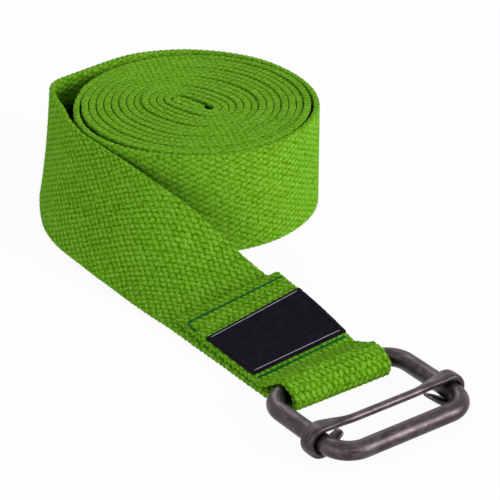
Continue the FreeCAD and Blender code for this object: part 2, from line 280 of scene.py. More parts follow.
def woven_band(name, stations, outer_places, inner_places, relief, pit_shade_contrast,
               edge_steps=(7, 5), rounding=0.8, scallop_depth=0.22, plump=0.0, belly_at=None,
               weave_at=None, slants=(-0.12, 0.2), painted_shade_at=None):
    """Closed strip of webbing.

    Each station is the length along the strap, the lower inner corner, the direction across
    the strap and the direction out of its outer face.  plump is how far it swells outwards
    here and there, and belly_at how much more between its edges; weave_at gives the weave's
    own place where the wefts are beaten closer; painted_shade_at gives the painted shade of a
    place deep in a narrow gap, 0 to 1, which darkens its colour.  The weave's pits also get a
    painted shade in the colour.
    """
    outline = [(place, webbing_thickness, 0.0, 1.0, place) for place in outer_places]

    def selvedge(steps, side, start):
        for index in range(1, steps):
            turn = math.pi * index / steps
            outwards = math.copysign(abs(math.cos(turn)) ** 0.55, math.cos(turn)) * side
            sideways = math.sin(turn) ** 0.55
            middle = webbing_width - rounding if side > 0 else rounding
            outline.append((middle + side * rounding * sideways, half + half * outwards,
                            side * sideways, outwards, start + 3.0 * index / steps))

    selvedge(edge_steps[0], 1, webbing_width - rounding)
    back = webbing_width - rounding + 3.0
    outline += [(place, 0.0, 0.0, -1.0, back + webbing_width - rounding - place)
                for place in reversed(inner_places)]
    selvedge(edge_steps[1], -1, back + webbing_width - 2 * rounding)
    rim = 2 * back - 2 * rounding
    count = len(outline)
    points, cloth_places, pit_shading, dyes, painted_shades = [], [], [], [], []
    for along, corner, across, out in stations:
        sway = 0.18 * noise.noise(Vector((along / 16.0, 5.0, 0.0)))
        swell = plump * (0.6 + noise.noise(Vector((along / 4.5, 2.0, 7.0))))
        belly = belly_at(along) if belly_at else 0.0
        woven = weave_at(along) if weave_at else along
        for place, depth, sideways, outwards, run in outline:
            at = woven + 0.3 * noise.noise(Vector((along / 9.0, run / 7.0, 3.1)))
            over = run + 0.16 * noise.noise(Vector((along / 11.0, run / 6.0, 8.7)))
            height, dye = grain(at, over, slants)
            raised = (height - 1) * relief
            if sideways:
                scallop = 0.5 + 0.5 * math.cos(2 * math.pi * at / pick)
                raised *= 0.6
                raised += (scallop - 0.8) * scallop_depth * abs(sideways)
            proud = outwards * raised
            if outwards > 0:
                proud += swell + (belly if belly_from < place < belly_to else 0.0)
            points.append((corner + across * (place + sway + sideways * raised)
                           + out * (depth + proud)) * 0.001)
            cloth_places.append((at, over))
            # Painted shade: the weave's pits, and the dips between picks on the selvedge, are
            # kept darker in the colour.
            pit_shading.append(1 - (1 - height) * pit_shade_contrast * (1 - 0.4 * abs(sideways)))
            if sideways:
                pit_shading[-1] -= 0.3 * (1 - scallop) * abs(sideways)
            dyes.append(dye)
            # Painted shade for places that lie deep in a narrow gap.
            painted_shades.append(painted_shade_at(along, place, outwards) if painted_shade_at else 0.0)
    faces_made = skin(len(stations), count)
    corners = []
    for face in faces_made:
        closing = len(face) == 4 and face[0] % count == count - 1
        for index in face:
            at, over = cloth_places[index]
            corners.append((at, over + rim if closing and index % count == 0 else over))
    made = mesh_piece(name, points, faces_made)
    layer = made.data.uv_layers.new(name="cloth")
    layer.data.foreach_set("uv", [value * 0.001 for corner in corners for value in corner])
    # grain and deep carry painted shade, for the weave's pits and for narrow gaps; dye is the
    # cloth's own tone.
    for kind, values in (("grain", pit_shading), ("dye", dyes), ("deep", painted_shades)):
        made.data.attributes.new(kind, "FLOAT", "POINT").data.foreach_set("value", values)
    smoothed(made, 70)
    return made


def places_across(steps, first=flat_from, last=flat_to):
    """Even places across the flat of the webbing."""
    return [first + (last - first) * index / steps for index in range(steps + 1)]


def stretched(tree, place, scale, degrees=0.0):
    """Place turned and scaled unevenly, for a texture that runs one way."""
    turn = (0.0, 0.0, math.radians(degrees))
    return put(tree, "ShaderNodeMapping",
               {"Vector": place, "Rotation": turn, "Scale": scale}).outputs[0]


def cloudy(tree, place, scale, detail, roughness=0.5):
    """Noise at a place."""
    return put(tree, "ShaderNodeTexNoise", {"Vector": place, "Scale": scale, "Detail": detail,
                                            "Roughness": roughness}).outputs[0]


def remapped(tree, value, low, high, to_low=0.0, to_high=1.0, **settings):
    """Value moved from one range to another and held within it."""
    return put(tree, "ShaderNodeMapRange", {"Value": value, "From Min": low, "From Max": high,
                                            "To Min": to_low, "To Max": to_high},
               **settings).outputs[0]


def blended(tree, share, first, second):
    """Colour that lies between two by a share."""
    return put(tree, "ShaderNodeMix", {"Factor": share, "A": first, "B": second},
               data_type="RGBA").outputs["Result"]


def ramp(tree, value, first, last, *others):
    """Colour from a ramp through stops of a position and a colour."""
    made = put(tree, "ShaderNodeValToRGB", {0: value})
    stops = made.color_ramp.elements
    for index, (position, colour) in enumerate((first, last)):
        stops[index].position = position
        stops[index].color = (*colour, 1.0)
    for position, colour in others:
        stops.new(position).color = (*colour, 1.0)
    return made.outputs[0]


def bumped(tree, height, strength, distance):
    """Normal of a surface with a fine relief."""
    return put(tree, "ShaderNodeBump", {"Height": height, "Strength": strength,
                                        "Distance": distance}).outputs[0]


def surface(tree, output, values):
    """Principled surface with the values given, joined to the material's output."""
    shader = put(tree, "ShaderNodeBsdfPrincipled", values)
    tree.links.new(shader.outputs[0], output.inputs["Surface"])


cotton, tree, output = plain_material("green_cotton")
cloth_map = put(tree, "ShaderNodeUVMap", uv_map="cloth").outputs[0]
# grain carries painted shade for the weave's pits and deep carries painted shade for narrow
# gaps; dye is each float's own tone.
relief, own_dye, depth = (put(tree, "ShaderNodeAttribute", attribute_name=kind).outputs["Fac"]
                          for kind in ("grain", "dye", "deep"))
place = put(tree, "ShaderNodeTexCoord").outputs["Object"]
fibres = cloudy(tree, stretched(tree, cloth_map, (1300.0, 5200.0, 1.0), 24), 1.0, 3.0, 0.7)
patches = cloudy(tree, place, 60.0, 4.0, 0.6)
flecks = cloudy(tree, place, 1500.0, 2.0, 0.7)
# Painted shade in the weave's pits, from the grain attribute; own_dye, fibres, patches and
# flecks add the cloth's own uneven tone.
shade = remapped(tree, relief, 0.1, 0.85, -0.5, 0.0, interpolation_type="SMOOTHSTEP")
for shading, amount in ((own_dye, 0.12), (fibres, 1.1), (patches, 0.16), (flecks, 1.8)):
    shade = maths(tree, "MULTIPLY_ADD", shading, amount, shade)
shade = maths(tree, "ADD", shade, -0.905)
greens = ramp(tree, shade, (0.0, (0.028, 0.115, 0.0)), (1.0, (0.228, 0.48, 0.046)),
              (0.45, (0.118, 0.31, 0.007)))
specks = remapped(tree, cloudy(tree, place, 420.0, 2.0), 0.66, 0.8, 0.0, 0.4)
cool = blended(tree, specks, greens, (0.07, 0.31, 0.05, 1.0))
# Painted shade: cloth deep between the turns and behind the lead is mixed towards near-black.
with_painted_shade = blended(tree, depth, cool, (0.003, 0.012, 0.002, 1.0))
surface(tree, output, {"Base Color": with_painted_shade, "Roughness": 0.95, "Specular IOR Level": 0.03,
                       "Normal": bumped(tree, fibres, 0.5, 0.00016), "Sheen Weight": 0.1,
                       "Sheen Roughness": 0.5, "Sheen Tint": (0.4, 0.9, 0.06, 1.0)})

core_facing = math.radians(core_direction)
core_along = Vector((math.cos(core_facing), math.sin(core_facing), 0.0))
core_aside = Vector((-math.sin(core_facing), math.cos(core_facing), 0.0))
fold = -core_along * (core_half_length - hem_pitch / 2)
fold_middle = fold - core_aside * (hem_pitch / 2)


def standing(along, place, out, lift):
    """Station of webbing that stands on its edge."""
    return along, place - out * half + up * lift, up, out


def turn_lift(turns):
    """Small differences in how deep each turn sits."""
    wave = noise.noise(Vector((turns * 1.7, 0.3, 5.0))) + 0.5 * math.sin(turns * 2.1)
    return 0.3 + 0.35 * wave


def hem_lift(run):
    """The folded hem climbs a little."""
    return 0.1 + 0.02 * run


coil_spacing = 0.6              # from one cross-section of the webbing to the next
stations = []
flap_steps = int(hem_flap / coil_spacing)
for index in range(flap_steps + 1):
    run = hem_flap * index / flap_steps
    place = fold + core_along * (hem_flap - run)
    stations.append(standing(run, place, core_aside, hem_lift(run)))
bend_steps = 8
for index in range(1, bend_steps):
    turn = math.pi * index / bend_steps
    out = core_aside * math.cos(turn) - core_along * math.sin(turn)
    run = hem_flap + hem_pitch / 2 * turn
    stations.append(standing(run, fold_middle + out * (hem_pitch / 2), out, hem_lift(run)))
along = hem_flap + hem_pitch / 2 * math.pi
core_lift = hem_lift(14.0)
lead_in = 5
after_fold = fold_middle - core_aside * (hem_pitch / 2)
first_place = roll_station(0.0)[0]
for index in range(lead_in):
    share = index / lead_in
    place = after_fold.lerp(first_place, share)
    stations.append(standing(along + (place - after_fold).length, place, -core_aside,
                             hem_lift(along)))
along += (first_place - after_fold).length
previous = first_place
for turns in roll_run(0.0, pack_turns, coil_spacing):
    place, out = roll_station(turns)
    along += (place - previous).length
    previous = place
    blend = smooth_step(turns * 2)
    stations.append(standing(along, place, out,
                             core_lift * (1 - blend) + turn_lift(turns) * blend))
coil_end = along
rim_rounding = 0.38
rim_places = [rim_rounding, 8.0, 22.0, 34.0, 36.2, 36.9, webbing_width - rim_rounding]
belly_depth = 0.7


def shade_between_turns(along, place, outwards):
    """Painted shade between the tight turns, which hide all but their rims; the end of the last
    one shows more.
    """
    loose = smooth_step((along - coil_end + 60.0) / 30.0) if outwards > 0 else 0.0
    fuzz = 1.3 * max(0.0, noise.noise(Vector((along / 8.0, 9.0, 1.0))))
    return smooth_step((37.3 - fuzz - 2.8 * loose - place) / (1.1 + 2.9 * loose))


def pressed(along):
    """Between its rims each turn fills the gap to the next; the last stretch lies bare."""
    return belly_depth * (1 - smooth_step((along - coil_end + 70.0) / 30.0))


roll = woven_band("rolled_webbing", stations, rim_places, rim_places, 0.08, 0.85,
                  edge_steps=(9, 3), rounding=rim_rounding, scallop_depth=0.19, plump=0.24,
                  belly_at=pressed, painted_shade_at=shade_between_turns)
roll.data.materials.append(cotton)
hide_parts("webbing_coil")
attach(roll, "strap")


# ------------------------------------------------------------ webbing: the outer turn
# The last turn of the same webbing has slackened.  It stands a little proud of the roll at
# the back and leaves the roll there.
leaving_turn = pack_turns + (450.0 - direction_at(pack_turns) % 360.0) / 360.0
settled_lift = 0.15
back_lift = 1.2


def outer_lift(turns):
    """The outer turn stands higher towards the back."""
    first = direction_at(pack_turns)
    bearing = first % 360.0 + direction_at(turns) - first
    start = turn_lift(pack_turns)
    rise = smooth_step((bearing - 330.0) / 70.0)
    settle = smooth_step((bearing - 130.0) / 60.0)
    return start * (1 - settle) + settled_lift * settle * (1 - rise) + back_lift * rise


outer_spacing = 0.58
stations = []
along = coil_end
previous = roll_station(pack_turns)[0]
for turns in roll_run(pack_turns, leaving_turn, outer_spacing):
    place, out = roll_station(turns)
    along += (place - previous).length
    previous = place
    stations.append(standing(along, place, out, outer_lift(turns)))
outer_end = along


def shade_behind_lead(along, place, outwards):
    """Painted shade on its inner face, and on its outer face where the lead covers it."""
    if outwards < 0:
        return smooth_step((35.5 - place) / 3.0)
    return smooth_step((34.5 - place) / 4.0) * smooth_step((coil_end + 62.0 - along) / 18.0)


outer_turn = woven_band("outer_turn", stations, places_across(128),
                        places_across(20, last=24.0) + places_across(28, first=25.0),
                        0.23, 0.88, painted_shade_at=shade_behind_lead)
outer_turn.data.materials.append(cotton)
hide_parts("webbing_outer_turn")
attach(outer_turn, "strap")


# ------------------------------------------------------------ webbing: the lead
# The same webbing leaves the roll upright, bends round the corner, leans over past the roll
# and lies down towards the buckle.
lead_runs = (                   # length, turn to the left, then tilt and lift at the end
    (25.3, 0.0, 89.0, 0.0),
    (12.3, 43.0, 85.0, 0.0),
    (14.7, 15.0, 77.5, 0.3),
    (13.5, 3.0, 73.5, 1.2),
    (12.3, 4.0, 69.0, 2.4),
    (9.4, 7.5, 63.5, 3.3),
    (11.1, 11.0, 58.0, 3.7),
    (13.6, 11.0, 52.5, 3.2),
    (11.3, 3.0, 48.0, 1.6),
    (10.6, -3.5, 39.0, 0.4),
    (10.6, -1.0, 26.0, 0.0),
    (10.4, 2.0, 17.5, 0.0),
    (9.7, -5.0, 13.0, 0.0),
)
run_ends = [0.0]
headings = [direction_at(leaving_turn) % 360.0 + 90.0]
tilts = [90.0]
lifts = [outer_lift(leaving_turn)]
for length, turn, tilt, lift in lead_runs:
    run_ends.append(run_ends[-1] + length)
    headings.append(headings[-1] + turn)
    tilts.append(tilt)
    lifts.append(lift)


def run_at(at):
    """Run of the lead in which a length lies, and the share of it that is covered."""
    index = 0
    while index < len(lead_runs) - 1 and at > run_ends[index + 1]:
        index += 1
    return index, (at - run_ends[index]) / (run_ends[index + 1] - run_ends[index])


def between(values, at):
    """Smooth value at a length, through the values at the ends of the runs."""
    index, share = run_at(at)
    run = run_ends[index + 1] - run_ends[index]

    def slope(here):
        if here in (0, len(lead_runs)):
            return 0.0
        return (values[here + 1] - values[here - 1]) / (run_ends[here + 1] - run_ends[here - 1])

    square, cube = share * share, share * share * share
    return (values[index] * (2 * cube - 3 * square + 1)
            + slope(index) * run * (cube - 2 * square + share)
            + values[index + 1] * (3 * square - 2 * cube)
            + slope(index + 1) * run * (cube - square))


def leaning(heading, tilt):
    """Across and outward directions of webbing that heads some way and leans."""
    heading, tilt = math.radians(heading), math.radians(tilt)
    inward = Vector((-math.sin(heading), math.cos(heading), 0.0))
    across = inward * math.cos(tilt) + up * math.sin(tilt)
    out = up * math.cos(tilt) - inward * math.sin(tilt)
    return across, out, inward


lead_spacing = 0.53
lead_steps = round(run_ends[-1] / lead_spacing)
place = roll_station(leaving_turn)[0] + roll_station(leaving_turn)[1] * half
stations = []
spacing = run_ends[-1] / lead_steps
for index in range(lead_steps + 1):
    at = spacing * index
    run, share = run_at(at)
    heading = headings[run] + (headings[run + 1] - headings[run]) * share
    tilt = between(tilts, at)
    lift = between(lifts, at)
    across, out, inward = leaning(heading, tilt)
    corner = place + inward * (webbing_thickness * math.sin(math.radians(tilt))) + up * lift
    stations.append((outer_end + at, corner, across, out))
    turn = math.radians(heading)
    step = Vector((math.cos(turn), math.sin(turn), 0.0)) * spacing
    place = place + step
last_place = place - step
lead_end = outer_end + run_ends[-1]
closeness = ((0.0, 1.0), (45.0, 0.9), (88.0, 0.93), (100.0, 1.12), (112.0, 1.36),
             (122.0, 1.46), (131.0, 1.4), (139.0, 1.3), (147.0, 1.12), (156.0, 1.04),
             (run_ends[-1], 1.0))


def beaten(along):
    """The weave's own place on the lead, whose wefts lie closer where it leans over."""
    woven = outer_end
    for (start, first), (end, last) in zip(closeness, closeness[1:]):
        run = min(max(along - outer_end - start, 0.0), end - start)
        woven += run * (first + (last - first) * run / (2 * (end - start)))
    return woven


def shade_inside_lead(along, place, outwards):
    """Painted shade on the lead's inner face where it stands close to the roll."""
    if outwards > 0:
        return 0.0
    return smooth_step((30.0 - place) / 6.0) * smooth_step((outer_end + 62.0 - along) / 18.0)


lead = woven_band("lead_webbing", stations, places_across(140), places_across(105), 0.26, 1.0,
                  weave_at=beaten, painted_shade_at=shade_inside_lead)
lead.data.materials.append(cotton)
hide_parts("webbing_lead")
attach(lead, "strap")


# ------------------------------------------------------------ webbing: the sewn end
# The webbing goes under and round the buckle's rear rail and back over itself, where it is
# sewn down; the upper ply came down a little askew.
sewn_length = 56.0
ply_gap = 0.1
loop_fold_length = 12.0
loop_start = 0.6                # the webbing turns up this far past the rail's axis
loop_reach = 7.15               # and from there this far forwards
loop_height = 11.1
crown_radius = 5.5              # over the rail
fold_slope = 31.0               # of the upper ply behind the rail
two_plies = 2 * webbing_thickness + ply_gap
sewn_tilt = tilts[-1]
near_edge = last_place.x + webbing_thickness * math.sin(math.radians(sewn_tilt))
cut_end = last_place.y
rail_y = cut_end - sewn_length
strap_middle = near_edge + webbing_width / 2
rail_height = 5.6
upper_askew = 0.055             # how far the upper ply turns to the side
cut_askew = 4.4                 # how much further its near corner reaches back
sewn_spacing = 0.42
level_share = 0.2               # of the slope behind the rail, where it eases to level


def tilt_at(along):
    """Lean of the lower ply, which lies flat before it reaches the rail."""
    share = min(1.0, max(0.0, along) / (sewn_length - 4.0))
    return sewn_tilt * (1 - share * share)


def sewn_section(along, height, climb):
    """Corner and directions of the webbing on the sewn end."""
    across, out, _ = leaning(270.0, tilt_at(along))
    climb = math.radians(climb)
    inner = out * math.cos(climb) + Vector((0.0, 1.0, 0.0)) * math.sin(climb)
    return Vector((near_edge, cut_end - along, 0.0)) + out * height, across, inner


def askew(along, across):
    """Sideways and backward shift of the upper ply."""
    loose = max(0.0, sewn_length - loop_fold_length - along)
    sideways = upper_askew * loose
    backwards = (0.5 - across / webbing_width) * (
        webbing_width * upper_askew * min(1.0, loose / 20.0)
        + cut_askew * max(0.0, 1 - along / 9.0)
    )
    return sideways, backwards


def fall(left):
    """Height left to fall on the slope, unscaled, with this share of its run to come."""
    soft = min(left, level_share)
    return soft * soft * (2.2 - 1.2 * soft) + left - soft


path = []
lower_length = sewn_length + loop_start
count = round(lower_length / sewn_spacing)
for index in range(count + 1):
    at = lower_length * index / count
    path.append(sewn_section(at, 0.0, 0.0))
loop_steps = 46
for index in range(1, loop_steps + 1):
    turn = math.pi * index / loop_steps
    climb = math.degrees(math.atan2(loop_height / 2 * math.sin(turn),
                                    loop_reach * math.cos(turn)))
    path.append(sewn_section(lower_length + loop_reach * math.sin(turn),
                             loop_height / 2 * (1 - math.cos(turn)), climb))
crown_steps = 7
for index in range(crown_steps + 1):
    steep = fold_slope * index / crown_steps
    turn = math.radians(steep)
    slope_from = sewn_length - crown_radius * math.sin(turn)
    slope_height = loop_height - crown_radius * (1 - math.cos(turn))
    path.append(sewn_section(slope_from, slope_height, 180.0 + steep))
upper_length = sewn_length - loop_fold_length
fold_run = slope_from - upper_length
slope_lengthening = 1.17        # of a slope against its run
count = round(fold_run * slope_lengthening / sewn_spacing)
for index in range(1, count + 1):
    left = 1 - index / count
    height = two_plies + (slope_height - two_plies) * fall(left) / fall(1.0)
    path.append(sewn_section(upper_length + fold_run * left, height,
                             180.0 + fold_slope * min(1.0, left / level_share)))
upper_from = len(path)
count = round(upper_length / sewn_spacing)
for index in range(1, count + 1):
    path.append(sewn_section(upper_length * (1 - index / count), two_plies, 180.0))
stations = []
along = lead_end
previous = None
for corner, across, out in path:
    centre = corner + out * half
    if previous is not None:
        along += (centre - previous).length
    previous = centre
    stations.append((along, corner, across, out))
sewn = woven_band("sewn_webbing", stations, places_across(144), places_across(52), 0.34, 1.15,
                  slants=(-0.34, 0.36))
ring = len(sewn.data.vertices) // len(stations)
for index, vertex in enumerate(sewn.data.vertices):
    _, corner, across, _ = stations[index // ring]
    if index // ring >= upper_from:
        sideways, backwards = askew(cut_end - corner.y, (vertex.co * 1000 - corner).dot(across))
        vertex.co += Vector((sideways, backwards, 0.0)) * 0.001
sewn.data.materials.append(cotton)
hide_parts("webbing_sewn_end")
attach(sewn, "strap")


# ------------------------------------------------------------ label
# A black woven patch with cut sides and ends folded under, laid flat on the upper ply.  It
# carries nothing but a thin pale line inside each folded end.
label_start = 14.6
label_length = 26.4
label_near_margin = 1.2
label_width = webbing_width - label_near_margin
label_shift = 0.25              # laid this much nearer than its stitches
back_height = 0.04              # its back, just clear of the webbing
label_ply = 0.31                # its thickness, and how much more its ends have
label_fold = 0.13
folded_end = 2.6                # length of each end that is folded under


def on_upper_ply(at, across, height):
    """Place on the upper ply: behind the cut end, from the near side, above its face."""
    corner, side, out = sewn_section(at, two_plies + height, 0.0)
    sideways, backwards = askew(at, across)
    return (corner + side * across + Vector((sideways, backwards, 0.0))) * 0.001


def face_outwards():
    """Turn every face of the active piece outwards."""
    bpy.ops.object.mode_set(mode="EDIT")
    bpy.ops.mesh.select_all(action="SELECT")
    bpy.ops.mesh.normals_make_consistent(inside=False)
    bpy.ops.object.mode_set(mode="OBJECT")


bpy.ops.mesh.primitive_grid_add(x_subdivisions=74, y_subdivisions=54, size=1.0)
label = bpy.context.object
label.name = "woven_label"
bpy.ops.object.mode_set(mode="EDIT")
bpy.ops.mesh.select_all(action="SELECT")
bpy.ops.mesh.extrude_region_move(TRANSFORM_OT_translate={"value": (0.0, 0.0, 1.0)})
bpy.ops.object.mode_set(mode="OBJECT")
face_outwards()
label_map = label.data.uv_layers.new(name="patch")
for corner, loop in zip(label_map.data, label.data.loops):
    vertex = label.data.vertices[loop.vertex_index]
    corner.uv = ((vertex.co.x + 0.5) * label_width * 0.001,
                 (vertex.co.y + 0.5) * label_length * 0.001)
for vertex in label.data.vertices:
    x = (vertex.co.x + 0.5) * label_width
    y = (vertex.co.y + 0.5) * label_length
    from_end = min(y, label_length - y)
    from_side = min(x, label_width - x)
    waver = noise.noise(Vector((x / 6.0, y / 6.0, 1.0)))
    height = back_height
    if vertex.co.z > 0.5:
        folded = smooth_step((folded_end - from_end) / 0.8)
        edge = 1 - math.sqrt(max(0.0, 1 - max(0.0, 1 - from_end / 0.45) ** 2))
        height += label_ply + label_fold * folded + 0.04 * waver - 0.3 * edge
        height -= 0.12 * smooth_step((0.7 - from_side) / 0.7)
    fray = 0.14 * noise.noise(Vector((y * 1.9, 4.0, x)))
    x += fray * smooth_step(1.0 - from_side)
    vertex.co = on_upper_ply(label_start + y, label_near_margin + x - label_shift, height)
smoothed(label, 50)

satin, tree, output = plain_material("black_damask")
patch = put(tree, "ShaderNodeUVMap", uv_map="patch").outputs[0]
split = put(tree, "ShaderNodeSeparateXYZ", {0: patch})
twill_repeat, pick_repeat = 0.00042, 0.00034
half_length, half_width = 0.0005 * label_length, 0.0005 * label_width
line_inset, line_outer, line_inner = 0.0014, 0.00017, 0.00008
diagonal = maths(tree, "MULTIPLY", split.outputs["X"], 2 * math.pi / twill_repeat)
picks = maths(tree, "MULTIPLY", split.outputs["Y"], 2 * math.pi / pick_repeat)
twill = maths(tree, "SINE", maths(tree, "ADD", diagonal, picks))
threads = maths(tree, "ADD", twill, maths(tree, "SINE", picks))
bloom = cloudy(tree, stretched(tree, patch, (260.0, 420.0, 1.0)), 1.0, 4.0, 0.6)
dark = ramp(tree, bloom, (0.35, (0.0025, 0.0015, 0.0045)), (0.68, (0.0075, 0.0055, 0.0125)))
to_middle = maths(tree, "ABSOLUTE", maths(tree, "ADD", split.outputs["Y"], -half_length))
to_line = maths(tree, "ADD", to_middle, line_inset - half_length)
wavy = maths(tree, "ADD", maths(tree, "MULTIPLY_ADD", bloom, 0.0003, to_line), -0.00015)
line = remapped(tree, maths(tree, "ABSOLUTE", wavy), line_outer, line_inner)
to_middle = maths(tree, "ABSOLUTE", maths(tree, "ADD", split.outputs["X"], -half_width))
within = remapped(tree, to_middle, half_width - 0.0015, half_width - 0.0018)
worn = remapped(tree, bloom, 0.2, 0.5, 0.35)
line = maths(tree, "MULTIPLY", maths(tree, "MULTIPLY", line, within), worn)
with_line = blended(tree, line, dark, (0.46, 0.42, 0.56, 1.0))
surface(tree, output, {"Base Color": with_line, "Roughness": 0.7, "Specular IOR Level": 0.04,
                       "Normal": bumped(tree, threads, 0.35, 0.00006)})
label.data.materials.append(satin)
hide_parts("label")
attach(label, "strap")


# ------------------------------------------------------------ stitching
# Lock stitches of dark teal thread.  One row holds the upper ply's cut end and turns the near
# corner, where its tail is left; another closes the loop; black ones hold the label's sides.
stitch_rise = 0.13              # of the thread's axis over the ply
stitch_sag = 0.16               # of its ends, which the ply draws in
laid_flat = 0.8                 # height of the thread against its width
normal_thread = 0.68


def stitch(name, start, end, thickness):
    """One stitch between two places on the upper ply, sunk in at both ends."""
    bpy.ops.mesh.primitive_uv_sphere_add(segments=10, ring_count=8, radius=0.5)
    made = bpy.context.object
    made.name = name
    begin, finish = Vector(start), Vector(end)
    direction = (finish - begin).normalized()
    aside = Vector((-direction.y, direction.x))
    for vertex in made.data.vertices:
        share = vertex.co.z + 0.5
        swell = math.sin(math.pi * min(max(share, 0.02), 0.98)) ** 0.35
        at_pole = abs(vertex.co.z) >= 0.499
        width = 0.0 if at_pole else 0.5 * thickness * swell / vertex.co.xy.length
        twist = 0.06 * math.sin(share * 14.0)
        point = begin.lerp(finish, share) + aside * (vertex.co.x * width + twist * swell)
        sag = stitch_sag * (2 * share - 1) ** 2
        height = stitch_rise + vertex.co.y * width * laid_flat - sag
        vertex.co = on_upper_ply(point.x, point.y, height)
    made.select_set(False)
    return made


def stitched_row(name, start, end, count, thickness=normal_thread):
    """A row of stitches between two places on the upper ply (behind the cut end, across)."""
    begin, finish = Vector(start), Vector(end)
    step = (finish - begin) / count
    stitches = []
    for index in range(count):
        first = begin + step * (index - 0.02)
        last = begin + step * (index + 1.02)
        sway = 0.12 * noise.noise(Vector((index * 1.37, start[0], 2.0)))
        aside = Vector((-step.y, step.x)).normalized() * sway
        stitches.append(stitch(name, first + aside, last + aside, thickness))
    return stitches


def joined(name, parts):
    """Make one piece of several."""
    bpy.ops.object.select_all(action="DESELECT")
    for part in parts:
        part.select_set(True)
    bpy.context.view_layer.objects.active = parts[0]
    bpy.ops.object.join()
    whole = bpy.context.object
    whole.name = name
    smoothed(whole, 60)
    return whole


def thread_material(name, deep, bright):
    """Twisted sewing thread."""
    made, tree, output = plain_material(name)
    place = put(tree, "ShaderNodeTexCoord").outputs["Object"]
    strands = put(tree, "ShaderNodeTexWave", {"Vector": place, "Scale": 900.0,
                                              "Distortion": 1.5},
                  bands_direction="DIAGONAL").outputs["Fac"]
    shade = maths(tree, "MULTIPLY", strands, cloudy(tree, place, 700.0, 2.0))
    surface(tree, output, {"Base Color": blended(tree, shade, deep, bright),
                           "Roughness": 0.7, "Specular IOR Level": 0.04,
                           "Normal": bumped(tree, strands, 0.4, 0.00008)})
    return made


teal_thread = thread_material("teal_thread", (0.0, 0.07, 0.019, 1.0),
                              (0.001, 0.145, 0.043, 1.0))
black_thread = thread_material("black_thread", (0.004, 0.004, 0.006, 1.0),
                               (0.03, 0.028, 0.04, 1.0))

parts = stitched_row("stitch", (4.3, 1.5), (4.9, 37.2), 13)
parts += stitched_row("stitch", (4.5, 1.3), (9.6, 0.9), 2)
parts += stitched_row("tail", (9.8, 0.8), (11.4, 0.3), 1, 0.3)
cut_end_row = joined("cut_end_row", parts)
cut_end_row.data.materials.append(teal_thread)
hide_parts("cut_end_stitching")
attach(cut_end_row, "strap")

loop_row = joined("loop_row", stitched_row("stitch", (42.9, 1.4), (42.4, 36.6), 13))
loop_row.data.materials.append(teal_thread)
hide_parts("loop_stitching")
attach(loop_row, "strap")

parts = []
row_end = 0.7                   # from the label's end to its first stitch
label_top = 0.00036
for across in (label_near_margin + 0.9, webbing_width - 1.5):
    parts += stitched_row("stitch", (label_start + row_end, across),
                          (label_start + label_length - row_end, across), 9, 0.4)
for part in parts:
    for vertex in part.data.vertices:
        vertex.co.z += label_top
label_rows = joined("label_rows", parts)
label_rows.data.materials.append(black_thread)
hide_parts("label_stitching")
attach(label_rows, "strap")


# ------------------------------------------------------------ buckle frame
# One length of 6 mm steel wire, bent into a rounded rectangle with its ends butted in the rear
# rail, tumbled and given a dark gunmetal finish that has rubbed a little brighter in places.
wire_radius = 3.0
frame_width = 49.6
frame_length = 38.56
frame_corner_radius = 8.2
butt_gap = 0.25
wire_sides = 36
straight_steps = 4
straight_x = frame_width / 2 - frame_corner_radius
straight_y = frame_length / 2 - frame_corner_radius
frame_middle_y = rail_y - frame_length / 2


def in_metres(x, y, z):
    """Place in metres from one in millimetres."""
    return x * 0.001, y * 0.001, z * 0.001


bpy.ops.mesh.primitive_circle_add(
    vertices=wire_sides, radius=wire_radius * 0.001, fill_type="NOTHING",
    location=in_metres(strap_middle + butt_gap / 2, rail_y, rail_height),
    rotation=(0.0, math.radians(90), 0.0))
buckle = bpy.context.object
buckle.name = "buckle_wire"
bpy.ops.object.transform_apply(location=True, rotation=True, scale=True)
bpy.ops.object.mode_set(mode="EDIT")
bpy.ops.mesh.select_all(action="SELECT")
runs = (
    ((straight_x - butt_gap / 2, 0), (1, 1)), ((0, -2 * straight_y), (1, -1)),
    ((-2 * straight_x, 0), (-1, -1)), ((0, 2 * straight_y), (-1, 1)),
    ((straight_x - butt_gap / 2, 0), None),
)
for (run_x, run_y), corner in runs:
    step = in_metres(run_x / straight_steps, run_y / straight_steps, 0)
    for _ in range(straight_steps):
        bpy.ops.mesh.extrude_edges_move(TRANSFORM_OT_translate={"value": step})
    if corner:
        bpy.ops.mesh.spin(
            steps=18, angle=math.radians(90), axis=(0, 0, 1),
            center=in_metres(strap_middle + corner[0] * straight_x,
                             frame_middle_y + corner[1] * straight_y, rail_height))
bpy.ops.mesh.edge_face_add()
bpy.ops.object.mode_set(mode="OBJECT")
for vertex in buckle.data.vertices:
    vertex.select = vertex.index < wire_sides
bpy.ops.object.mode_set(mode="EDIT")
bpy.ops.mesh.select_mode(type="VERT")
bpy.ops.mesh.edge_face_add()
bpy.ops.object.mode_set(mode="OBJECT")
face_outwards()


def along_wire(point):
    """Length along the wire's axis from its first end, and the angle round it."""
    x = point.x * 1000 - strap_middle
    y = point.y * 1000 - frame_middle_y
    z = point.z * 1000 - rail_height
    inside_x = max(-straight_x, min(straight_x, x))
    inside_y = max(-straight_y, min(straight_y, y))
    out_x, out_y = x - inside_x, y - inside_y
    turned = math.atan2(z, math.hypot(out_x, out_y) - frame_corner_radius)
    if out_x > 0:
        straights = straight_x + straight_y - inside_y
    elif out_x < 0:
        straights = 3 * straight_x + 3 * straight_y + inside_y
    elif out_y > 0:
        straights = inside_x
    else:
        straights = 2 * straight_x + 2 * straight_y - inside_x
    bearing = math.atan2(out_x, out_y) % (2 * math.pi)
    return straights + frame_corner_radius * bearing, turned


